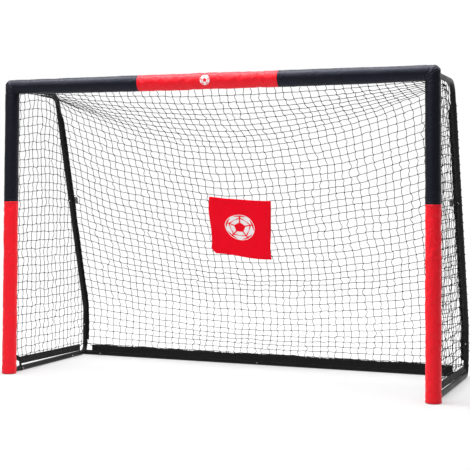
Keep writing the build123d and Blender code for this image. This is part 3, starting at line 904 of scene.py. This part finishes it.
def tailor(grid, lumps, count, seed, extra=(), foot=False):
    """A sleeve's slow waves, dimples, folds, rolled hems and the closing flap at its back."""
    shape = grid.shape[:2]
    normal = grid_normals(grid, True)
    run = ring_run(grid)
    near = np.minimum(run, run[-1] - run)[:, None]
    source = np.random.default_rng(seed)
    folds = [
        (
            source.uniform(0.03, run[-1] - 0.03),
            source.uniform(0, 1),
            source.normal(0, 0.9),
            source.uniform(0.008, 0.022),
            source.uniform(0.4, 1.0) * lumps,
        )
        for _ in range(count)
    ]
    lift = ring_noise(shape, 26, lumps * 0.55, seed) + ring_noise(shape, 9, lumps * 0.35, seed + 1)
    lift += ring_noise(shape, 4, lumps * 0.12, seed + 2)
    lift *= 0.25 + 0.75 * smooth_step(near, 0.0, 0.06)
    lift += creases(shape, run, folds + list(extra))
    hem_roll = 0.0007 * (1 - smooth_step(near, 0.009, 0.014))
    lift += hem_roll - 0.0008 * np.exp(-(((near - 0.016) / 0.004) ** 2))
    if foot:
        lift -= 0.0011 * np.exp(-(((run[:, None] - FOOT_HEM) / 0.0045) ** 2))
        lift += 0.0006 * (run[:, None] < FOOT_HEM)
    rear = (grid[..., 1] - POST_Y) / PAD_R
    lift += 0.0011 * smooth_step(rear, 0.86, 0.92)
    out = grid + normal * np.maximum(lift, -0.0016)[..., None]
    hung = np.clip((BAR_Z - grid[..., 2]) / PAD_R, 0, 1) ** 1.5 * (np.abs(grid[..., 0]) < SAG_HALF)
    out[..., 2] -= SAG * hung * np.clip(1 - (grid[..., 0] / SAG_HALF) ** 4, 0, 1)
    return out


def seam_lines(grid, height=None):
    """Where a sleeve is stitched: its end hems, its flap, and a deep hem at a given height."""
    normal = grid_normals(grid, True)
    skin = grid + normal * 0.0004
    run = ring_run(grid)
    marks = [HEM_SEAM, run[-1] - HEM_SEAM] + ([height] if height else [])
    lines = []
    for mark in marks:
        ring = skin[int(np.argmin(np.abs(run - mark)))]
        lines.append(np.concatenate([ring, ring[:1]]))
    rear = (grid[len(grid) // 2, :, 1] - POST_Y) / PAD_R
    for column in np.argsort(np.abs(rear - FLAP_AT))[:2]:
        lines.append(skin[:, column])
    return lines


COVER_FABRIC = {
    "quality": 4,
    "mass": 0.25,
    "tension_stiffness": 12,
    "compression_stiffness": 12,
    "shear_stiffness": 4,
    "bending_stiffness": 0.4,
    "air_damping": 4,
    "shrink_min": -0.014,
    "use_pressure": True,
    "uniform_pressure_force": 4.0,
}


def puff(name, grid, pins, seed):
    """Cloth simulation of one sleeve: air pressure inside, a little too much cloth.

    No point ends more than most_shift from where it was, or more than most_inward inside it.
    """
    frames, most_shift, most_inward = 20, 0.0017, 0.0008
    rows, around = grid.shape[:2]
    normal = grid_normals(grid, True)
    bumps = ring_noise((rows, around), 5, 0.0004, seed)
    bumps = bumps + ring_noise((rows, around), 2, 0.0002, seed + 1)
    start = grid + normal * bumps[..., None] * (1 - pins)[..., None]
    faces, _ = grid_faces(rows, around, True)
    piece = build(name + "_cloth", start.reshape(-1, 3), faces)
    group = piece.vertex_groups.new(name="pins")
    for weight in np.unique(pins[pins > 0]):
        chosen = np.nonzero(np.isclose(pins.ravel(), weight))[0]
        group.add([int(k) for k in chosen], float(weight), "REPLACE")
    cloth = piece.modifiers.new("cloth", "CLOTH")
    settings = cloth.settings
    for key, value in COVER_FABRIC.items():
        setattr(settings, key, value)
    settings.vertex_group_mass = "pins"
    settings.effector_weights.gravity = 0.0
    cloth.point_cache.frame_start = 1
    cloth.point_cache.frame_end = frames
    scene = bpy.context.scene
    for step in range(1, frames + 1):
        scene.frame_set(step)
    result = piece.evaluated_get(bpy.context.evaluated_depsgraph_get()).data
    out = np.zeros(len(result.vertices) * 3, np.float32)
    result.vertices.foreach_get("co", out)
    scene.frame_set(1)
    bpy.data.objects.remove(piece)
    shift = out.reshape(grid.shape).astype(float) - grid
    size = np.linalg.norm(shift, axis=-1, keepdims=True)
    shift *= np.minimum(1, most_shift / (size + 1e-9))
    inward = np.minimum((shift * normal).sum(-1, keepdims=True) + most_inward, 0)
    return grid + shift - normal * inward


# ------------------------------------------------------------------ stage, light, camera


def stage_floor(finish):
    """A floor that curves up into a backdrop behind the goal."""
    turn_y, radius, reach, columns = 7.0, 4.0, 16.0, 9
    rows = [(-16.0, 0.0), (turn_y, 0.0)]
    for step in range(1, 17):
        angle = math.pi / 2 * step / 16
        rows.append((turn_y + radius * math.sin(angle), radius * (1 - math.cos(angle))))
    rows.append((turn_y + radius, 14.0))
    grid = np.array([[(x, y, z) for x in np.linspace(-reach, reach, columns)] for y, z in rows])
    faces, _ = grid_faces(len(rows), columns, False)
    floor = build("floor", grid.reshape(-1, 3), faces, None, finish)


def area_light(name, place, target, size, power):
    """A soft rectangular lamp that points at its target."""
    lamp = bpy.data.lights.new(name, "AREA")
    lamp.shape = "RECTANGLE"
    lamp.size, lamp.size_y = size
    lamp.energy = power
    holder = add_object(name, lamp)
    holder.location = place
    direction = Vector(target) - Vector(place)
    holder.rotation_euler = direction.to_track_quat("-Z", "Y").to_euler()


def lights():
    """A dim white surround, a large key from the left, one lamp above and one behind."""
    world = bpy.data.worlds.new("studio")
    world.use_nodes = True
    surround = world.node_tree.nodes["Background"].inputs
    surround["Color"].default_value = (1, 1, 1, 1)
    surround["Strength"].default_value = 0.25
    bpy.context.scene.world = world
    bpy.context.scene.view_settings.view_transform = "Standard"
    area_light("key_light", (-2.5, -4.5, 5.0), (0, 0, 0.6), (4.0, 3.0), 225)
    area_light("top_light", (-0.3, -0.5, 4.0), (-0.3, -0.4, 0.0), (5.0, 1.2), 300)
    area_light("rim_light", (0.8, 2.6, 4.6), (0.2, POST_Y, 1.4), (6.0, 1.6), 90)


def camera():
    """The view from a little to the right of the goal, at chest height."""
    yaw, pitch, roll = math.radians(21.45), math.radians(2.0), math.radians(0.27)
    ahead = Vector((-math.sin(yaw), math.cos(yaw), 0))
    right = Vector((math.cos(yaw), math.sin(yaw), 0))
    up = Vector((0, 0, 1))
    look = ahead * math.cos(pitch) + up * math.sin(pitch)
    top = -ahead * math.sin(pitch) + up * math.cos(pitch)
    side = right * math.cos(roll) + top * math.sin(roll)
    top = -right * math.sin(roll) + top * math.cos(roll)
    data = bpy.data.cameras.new("camera")
    data.lens = 88.97
    data.sensor_width = 36
    data.shift_y = -0.172
    holder = add_object("camera", data)
    turn = Matrix((side, top, -look)).transposed().to_4x4()
    holder.matrix_world = Matrix.Translation((2.301, -5.884, 0.977)) @ turn
    bpy.context.scene.camera = holder


# ------------------------------------------------------------------ the goal

BLACK_COAT = powder_coat("black_powder_coat")
ZINC = zinc("zinc_plate")
RUBBER = rubber("foot_rubber")
FOAM = cell_foam("grey_foam")
RED_COVER = cover_cloth("red_cover_cloth", (238, 4, 26), (248, 10, 38))
RED_COVER_MARKED = cover_cloth(
    "red_cover_print", (238, 4, 26), (248, 10, 38), mark_at=(0.0575, 0.388, 0.0)
)
BLACK_COVER = cover_cloth("black_cover_cloth", (8, 8, 14), (14, 14, 24), tint=(0.7, 0.75, 1, 1))
PANEL = panel_cloth("red_panel_cloth")
TWINE_CLOTH = twine_cloth("net_twine")
TAPE = webbing("black_webbing")
GREY_TAPE = webbing("grey_webbing", (90, 92, 96), (150, 152, 156))
RED_THREAD = thread("red_thread", (172, 6, 26))
BLACK_THREAD = thread("black_thread", (44, 44, 50))
FLOOR = floor_paint("white_floor")

CAD_FINISHES = {
    "snap_button": ZINC,
    "snap_spring": ZINC,
    "foot_cap": RUBBER,
}


def finish_cad_nodes():
    """Gives every tube, fitting, cap, button and spring its finish."""
    for name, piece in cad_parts.items():
        chosen = next((m for key, m in CAD_FINISHES.items() if name.startswith(key)), BLACK_COAT)
        if not piece.material_slots:
            piece.data.materials.append(chosen)
        for place in piece.material_slots:
            place.material = chosen


def foot_notch(angle):
    """How far the sleeve's lower edge lifts over the ground tube at the rear."""
    off = np.abs(angle - math.pi / 2)
    rise = np.clip(1 - (off - 0.36) / 0.14, 0, 1)
    return 0.029 * rise * rise * (3 - 2 * rise)


def cover_grids():
    """The clean sleeve grids of the right side and the middle, in their own places."""
    around, pitch = COVER_AROUND, COVER_PITCH
    at_post = np.array([POST_X, POST_Y, 0.0])
    clear = 0.003
    lower = straight_sleeve(POST_RED - SEAM_GAP - clear, around, pitch, foot=foot_notch)
    lower = lower + at_post + [0, 0, clear]
    upper = mitred_sleeve(POST_RED, around, pitch) + at_post
    side = over_the_mitre(mitred_sleeve(BAR_Z - (POST_X - BAR_RED), around, pitch))
    side = side + [POST_X, POST_Y, 0.0]
    bar = straight_sleeve(2 * (BAR_RED - SEAM_GAP), around, pitch)
    bar = bar - [0, 0, BAR_RED - SEAM_GAP]
    bar = np.stack([bar[..., 2], bar[..., 1], BAR_Z + bar[..., 0]], -1)[:, ::-1]
    bar = bar + [0, POST_Y, 0]
    return {"lower": lower, "upper": upper, "side": side, "centre": bar}


# Extra folds of the right post's sleeves: where along, where round, slant, reach, depth.
RIGHT_FOLDS = {
    "post_cover_upper_right": [
        (0.36, 0.8, 0.8, 0.03, 0.0012),
        (0.42, 0.72, -0.6, 0.03, 0.0009),
        (0.3, 0.68, 0.5, 0.025, 0.0009),
    ],
    "post_cover_lower_right": [(0.8, 0.75, 0.3, 0.025, 0.0011), (0.785, 0.82, -0.2, 0.02, 0.0009)],
}


def make_covers():
    """The seven padded sleeves with their hems, flaps and stitches."""
    grids = cover_grids()
    plan = [
        ("post_cover_lower", "lower", RED_COVER, "red_cover", 0.0006, 8),
        ("post_cover_upper", "upper", BLACK_COVER, "black_cover", 0.0009, 12),
        ("crossbar_cover", "side", BLACK_COVER, "black_cover", 0.0008, 9),
        ("crossbar_cover", "centre", RED_COVER_MARKED, "red_cover", 0.001, 26),
    ]
    seams = {"red_cover": [], "black_cover": []}
    seed = 20
    for name, key, finish, slot, lumps, folds in plan:
        sides = ["centre"] if key == "centre" else ["right", "left"]
        for side in sides:
            seed += 7
            label = f"{name}_{side}"
            here = mirror(grids[key]) if side == "left" else grids[key]
            pins = np.zeros(here.shape[:2])
            pins[:2] = pins[-2:] = 1.0
            here = puff(label, here, pins, seed)
            extra = RIGHT_FOLDS.get(label, ())
            here = tailor(finer(here), lumps, folds, seed, extra, key == "lower")
            piece = shells(label + "_cloth", [here], finish, COVER_WALL, loop=True)
            ride(piece, slot, label)
            seams[slot] += seam_lines(here, FOOT_HEM if key == "lower" else None)
    for slot, tone in (("red_cover", RED_THREAD), ("black_cover", BLACK_THREAD)):
        name = slot + "_stitches"
        piece = stitch(name, slot + "_seams", seams[slot], 0.0045, 0.0017, 0.00045, tone)
        ride(piece, slot)


def make_foam():
    """Foam sleeves under the covers."""
    foot_z, corner_room, around = 0.034, 0.045, 32
    lower = straight_sleeve(POST_RED - foot_z, around, 0.06, FOAM_R) + [POST_X, POST_Y, foot_z]
    upper = straight_sleeve(BAR_Z - corner_room - POST_RED, around, 0.06, FOAM_R)
    upper = upper + [POST_X, POST_Y, POST_RED + 0.001]
    grids = [lower, upper, mirror(lower), mirror(upper)]
    foam = shells("post_foam", grids, FOAM, FOAM_R - FOAM_BORE, loop=True)
    ride(foam, "foam", "post_foam_left", "post_foam_right")
    half = POST_X - corner_room
    bar = straight_sleeve(2 * half, around, 0.1, FOAM_R) - [0, 0, half]
    bar = np.stack([bar[..., 2], bar[..., 1] + POST_Y, BAR_Z + bar[..., 0]], -1)[:, ::-1]
    foam = shells("bar_foam", [bar], FOAM, FOAM_R - FOAM_BORE, loop=True)
    ride(foam, "foam", "crossbar_foam")


def rounded(points, radius, steps=8):
    """A polyline with its corners rounded to a radius."""
    points = [np.asarray(p, float) for p in points]
    out = [points[0]]
    for before, corner, after in zip(points, points[1:], points[2:]):
        a, b = unit(before - corner), unit(after - corner)
        half = math.acos(np.clip(a @ b, -1, 1)) / 2
        reach = radius / math.tan(half)
        middle = corner + unit(a + b) * radius / math.sin(half)
        start, end = corner + a * reach - middle, corner + b * reach - middle
        sweep = math.pi - 2 * half
        for k in range(steps + 1):
            share = k / steps
            arc = start * math.sin((1 - share) * sweep) + end * math.sin(share * sweep)
            out.append(middle + arc / math.sin(sweep))
    out.append(points[-1])
    return np.array(out)


def tape(points, across, width, steps=None, strips=5):
    """A flat tape as a grid that follows a path; across is the way its width lies."""
    points = np.asarray(points, float)
    if steps:
        points = along_path(points, np.linspace(0, path_length(points), steps))
    across = np.asarray(across, float)
    across = np.broadcast_to(across, points.shape)
    share = np.linspace(-0.5, 0.5, strips)[None, :, None]
    return points[:, None] + across[:, None] * share * width


def wavy(grid, amount, seed):
    """Gives a grid soft puckers along its normals."""
    reach = (6, 2)
    shape = grid.shape[:2]
    bumps = soft_noise(shape, reach[0], amount, seed)
    bumps = bumps + soft_noise(shape, reach[1], amount / 2, seed + 1)
    return grid + grid_normals(grid, False) * bumps[..., None]


def both(grid):
    """A right-hand grid and its left-hand twin."""
    return [grid, mirror(grid)]


# The way up the net's front edge, and the back hem's lower and upper edges.
HANG_UP = np.array([0.0, -0.4725, 0.8813])
HEM_LOW = np.array([0.0, BACK_TUBE_Y - TUBE_R - 0.0032, 0.0165])
HEM_TOP = np.array([0.0, 0.4049, 0.0645])
HEM_UP = unit(HEM_TOP - HEM_LOW)
HEM_HIGH = np.linalg.norm(HEM_TOP - HEM_LOW)
SIDE_HEM_HIGH = 0.039
HEM_START_Y = -0.312
HEM_HALF = 1.095


def make_hems():
    """The bands along the foot of the net, with puckers where the net is sewn in."""
    line = np.array([[1.097, 0, 0], [-1.097, 0, 0]]) + (HEM_LOW + HEM_TOP) / 2
    back = wavy(tape(line, HEM_UP, HEM_HIGH, 320, 8), 0.0006, 31)
    source = np.random.default_rng(35)
    swell = soft_noise((320, 3), 14, 0.0024, 36)[:, :1] + source.normal(0.001, 0.001, (320, 1))
    for column, share in ((-1, 1.0), (-2, 0.5)):
        back[:, column] += HEM_UP * swell * share
    piece = shells("back_hem", [back], TAPE, 0.0011, 0.0011)
    ride(piece, "net_band", "net_hem_back")
    line = np.array([[POST_X, HEM_START_Y, 0.0575], [POST_X, 0.371, 0.0485]])
    side = wavy(tape(line, (0, 0, 1), SIDE_HEM_HIGH, 120, 7), 0.0009, 33)
    for name, grid in zip(("right", "left"), both(side)):
        piece = shells(f"side_hem_{name}", [grid], TAPE, 0.00115, 0.00115)
        ride(piece, "net_band", f"net_hem_side_{name}")
    folds = []
    for offset in (0.006, HEM_HIGH - 0.006):
        edge = np.array([[HEM_HALF, 0, 0], [-HEM_HALF, 0, 0]]) + HEM_LOW + HEM_UP * offset
        folds.append(along_path(edge + [0, -0.0016, 0], np.linspace(0, 2 * HEM_HALF, 200)))
    piece = stitch("hem_stitches", "hem_seam", folds, 0.005, 0.0019, 0.0005, BLACK_THREAD)
    ride(piece, "net_band")


def upright_line(start_z=1.452, foot_z=0.089):
    """The sloping rear tube's axis, from a height down past its lower bend."""
    corner = (POST_X, REAR_Y, 0.28)
    line = rounded([(POST_X, slope_y(start_z), start_z), corner, (POST_X, REAR_Y, foot_z)], 0.1)
    return along_path(line, np.linspace(0, path_length(line), 300))


FIN_WIDE = 0.0125


def make_bindings():
    """Fabric folded round the back of each rear tube, with its fin sewn to the net."""
    line = upright_line()
    ahead = np.gradient(line, axis=0)
    ahead /= np.linalg.norm(ahead, axis=1, keepdims=True)
    side = TUBE_SIDE
    back = np.cross(side, ahead)
    back *= np.sign(back[:, 1:2])
    source = np.random.default_rng(41)
    columns = []
    for angle in np.linspace(math.radians(-8), math.radians(180), 21):
        columns.append((math.cos(angle), math.sin(angle), 0.0))
    for out in np.linspace(0.0012, FIN_WIDE, 6):
        columns.append((-1.0, 0.0, out))
    radius = TUBE_R + 0.0009
    grid = np.zeros((len(line), len(columns), 3))
    pucker = soft_noise((len(line), len(columns)), 2.2, 0.0003, 43)
    scallop = 0.14 * np.abs(np.sin(np.arange(len(line)) * math.pi / 9.7)) - 0.05
    scallop += soft_noise((len(line), 3), 22, 0.13, 45)[:, 1]
    taper = smooth_step(np.linspace(0, path_length(line), len(line)), -0.01, 0.05)
    for j, (c, s, out) in enumerate(columns):
        reach = radius + pucker[:, j] * (1 if out == 0 else 0)
        fin = out * taper * (1 + scallop * (out > 0.006))
        grid[:, j] = line + side * (c * reach - fin)[:, None]
        grid[:, j] += back * (s * reach - (0.0006 if out else 0))[:, None]
        if out:
            grid[:, j] += back * source.normal(0, 0.00025, (len(line), 1))
    for name, sleeve in zip(("right", "left"), both(grid[:, ::-1])):
        piece = shells(f"rear_binding_{name}", [sleeve], TAPE, 0.0006, 0.0004)
        ride(piece, "net_band", f"net_binding_{name}")


def make_edging():
    """Tape that holds the net to the back of the posts and under the crossbar."""
    line = [(POST_X, POST_Y + PAD_R + 0.0075, z) for z in (0.084, 1.543)]
    post = wavy(tape(line, (0, 1, 0), 0.013, 200, 5), 0.0004, 51)
    top = np.array([[1.134, NET_TOP[0], NET_TOP[1]], [-1.134, NET_TOP[0], NET_TOP[1]]])
    bar = wavy(tape(top + HANG_UP * 0.003, HANG_UP, 0.009, 300, 5), 0.0004, 53)
    piece = shells("net_edging", both(post) + [bar], TAPE, 0.0007, 0.0007)
    ride(piece, "net_band", "net_front_edging")


def ring_tape(centre, along, radius, width, low=None):
    """A tape wrapped once round a tube that runs along Y or Z, and never below low."""
    along = np.asarray(along, float)
    first = TUBE_SIDE
    second = np.cross(along, first)
    angle = np.linspace(0, 2 * math.pi, 40)
    ring = centre + radius * (np.cos(angle)[:, None] * first + np.sin(angle)[:, None] * second)
    if low is not None:
        ring[:, 2] = np.maximum(ring[:, 2], low)
    return tape(ring, along, width)


def make_straps():
    """The straps that tie the hems down, the grey tabs and the tails under the top bends."""
    front, wide, outside = HEM_START_Y + 0.011, 0.022, TUBE_R + 0.0009
    loop = ring_tape(np.array([POST_X, front, TUBE_R]), (0, 1, 0), outside, wide, 0.0012)
    tongue = tape([(POST_X, front, 0.0295), (POST_X + 0.0022, front, 0.06)], (0, 1, 0), wide, 8)
    post = tape(
        [(POST_X, -0.3752, 0.088), (POST_X, -0.352, 0.082), (POST_X + 0.0016, -0.3, 0.0605)],
        (0, 0.38, 0.925),
        0.025,
        16,
    )
    black = both(wavy(loop, 0.0002, 91)) + both(wavy(tongue, 0.0003, 92))
    black += both(wavy(post, 0.0004, 93))
    for z in (0.0605, 0.0655):
        wrap = ring_tape(np.array([POST_X, REAR_Y, z]), (0, 0, 1), outside, 0.0035)
        black += both(wrap)
    lace = 0.0045
    side_tie = [(POST_X, 0.373, 0.055), (POST_X - 0.002, 0.395, 0.066), (POST_X, 0.4215, 0.063)]
    black += both(tape(side_tie, (0.2, 0, 0.98), lace, 12))
    back_tie = [(1.098, 0.4125, 0.05), (1.12, 0.4195, 0.067), (1.1475, 0.4335, 0.063)]
    black += both(tape(back_tie, (0, 0.2, 0.98), lace, 12))
    bend = [(0, -0.092, 1.536), (0, -0.012, 1.535), (0, 0.058, 1.49), (0, 0.076, 1.444)]
    tail = rounded(bend, 0.03) + [1.1425, 0, 0]
    lie = np.gradient(tail, axis=0)
    lie = np.cross(lie / np.linalg.norm(lie, axis=1, keepdims=True), TUBE_SIDE)
    black += both(wavy(tape(tail, lie, 0.012), 0.0003, 95))
    piece = shells("net_straps_black", black, TAPE, 0.0007, 0.0007)
    ride(piece, "net_band", "net_straps")
    tab_z = 0.939
    at = np.array([1.1232, slope_y(tab_z) - 0.0012, tab_z])
    tab = tape([at - SLOPE * 0.0205, at + SLOPE * 0.0205], (1, 0, 0), 0.018, 24, 9)
    piece = shells("grey_tabs", both(wavy(tab, 0.0004, 97)), GREY_TAPE, 0.0009, 0.0009)
    ride(piece, "net_band")


def make_lacing():
    """Turns of twine that lace the net's edges round the rear tubes and over the hem."""
    source = np.random.default_rng(55)
    turns = []
    line = upright_line(1.46, 0.1)
    spots = np.arange(0.02, path_length(line) - 0.01, CELL)
    for spot in spots:
        at = along_path(line, [spot])[0]
        tilt = source.normal(0, 0.12)
        radius = TUBE_R + 0.0032 + abs(source.normal(0, 0.0005))
        angle = np.linspace(-0.1, math.pi + 0.25, 22)
        round_tube = np.cos(angle)[:, None] * TUBE_SIDE + np.sin(angle)[:, None] * SLOPE_BACK
        ring = at + radius * round_tube
        ring = ring + SLOPE * (tilt * radius * np.cos(angle))[:, None]
        tip = np.array([[NET_X, at[1] - 0.004, at[2]]])
        turns.append(np.concatenate([ring, tip]))
    turns += [turn * [-1, 1, 1] for turn in turns]
    for x in np.arange(-1.08, 1.085, 2 * NET_X / BACK_COLUMNS):
        x = x + source.normal(0, 0.003)
        high = np.array([x, 0, 0]) + HEM_TOP + HEM_UP * 0.0015
        out = np.array([0, 0.0027, 0])
        drop = HEM_UP * source.uniform(0.006, 0.016)
        lean = np.array([source.normal(0, 0.004), 0, 0])
        top = high + HEM_UP * source.uniform(0.001, 0.004) + lean / 2
        front_leg = [high - drop - out, high - out * 0.8]
        rear_leg = [high + out * 0.8 + lean, high - drop + out + lean]
        turns.append(rounded([*front_leg, top, *rear_leg], 0.0012, 3))
    source_lines = wires("lacing_lines", turns)
    piece = grow(
        "net_lacing", source_lines, TWINE, Twine_radius=0.0014, Sides=6, Finish=TWINE_CLOTH
    )
    ride(piece, "net_twine")


def net_point(knots, column, row):
    """The place on the net at a fractional column and row."""
    i, j = int(column), int(row)
    s, t = column - i, row - j
    low = knots[i, j] * (1 - s) + knots[i + 1, j] * s
    high = knots[i, j + 1] * (1 - s) + knots[i + 1, j + 1] * s
    return low * (1 - t) + high * t


PANEL_STEPS = 49
PANEL_OFF_NET = 0.009


def make_panel(knots):
    """The red panel, sewn a little askew to the front of the back net."""
    # The middle, and the steps to the side and to the foot, in net columns and rows.
    steps = PANEL_STEPS
    centre = np.array([24.6, 21.8])
    across = np.array([4.1, 0.36])
    down = np.array([-0.8, 4.22])
    grid = np.zeros((steps, steps, 3))
    for i, b in enumerate(np.linspace(1, -1, steps)):
        for j, a in enumerate(np.linspace(-1, 1, steps)):
            column, row = centre + across * a + down * b
            grid[i, j] = net_point(knots, column, row)
    for _ in range(60):
        around = grid[2:, 1:-1] + grid[:-2, 1:-1] + grid[1:-1, 2:] + grid[1:-1, :-2]
        grid[1:-1, 1:-1] = around / 4
    edges = [grid[0], grid[-1], grid[:, 0], grid[:, -1]]
    for edge in edges:
        share = np.linspace(0, 1, steps)[:, None]
        edge[:] = 0.35 * edge + 0.65 * (edge[0] * (1 - share) + edge[-1] * share)
    fold = np.clip(1.0 - (np.arange(steps)[:, None] + np.arange(steps)[None, :]) / 4.0, 0, 1)
    toward = grid[6, 6] - grid[0, 0]
    grid = grid + toward * (fold * 0.3)[..., None]
    normal = grid_normals(grid, False)
    if normal[steps // 2, steps // 2, 1] > 0:
        normal = -normal
    inset = np.minimum(np.arange(steps), np.arange(steps)[::-1])
    inset = np.minimum(inset[:, None], inset[None, :])
    hem = 0.0007 * (inset < 2) - 0.0006 * (inset == 2)
    waves = hem + soft_noise((steps, steps), 14, 0.0022, 81)
    waves = waves + soft_noise((steps, steps), 5, 0.0005, 82)
    grid = grid + normal * (PANEL_OFF_NET + waves)[..., None]
    return grid


def sew_panel(knots):
    """Hangs the red panel on the back net and stitches it along its edges."""
    grid = make_panel(knots)
    piece = shells("red_net_panel", [grid], PANEL, 0.0006)
    ride(piece, "red_panel", "net_panel")
    middle = PANEL_STEPS // 2
    inset = [grid[2, 2:-2], grid[-3, 2:-2], grid[2:-2, 2], grid[2:-2, -3]]
    normal = grid_normals(grid, False)
    facing = normal[middle, middle]
    lift = facing * 0.0003 * (1 if facing[1] < 0 else -1)
    lines = [line + lift for line in inset]
    seams = stitch("panel_stitches", "panel_seam", lines, 0.0045, 0.0016, 0.0004, RED_THREAD)
    ride(seams, "red_panel")


finish_cad_nodes()
stage_floor(FLOOR)
lights()
camera()
make_covers()
make_foam()
make_hems()
make_bindings()
make_edging()
make_straps()
make_lacing()
sew_panel(make_nets())
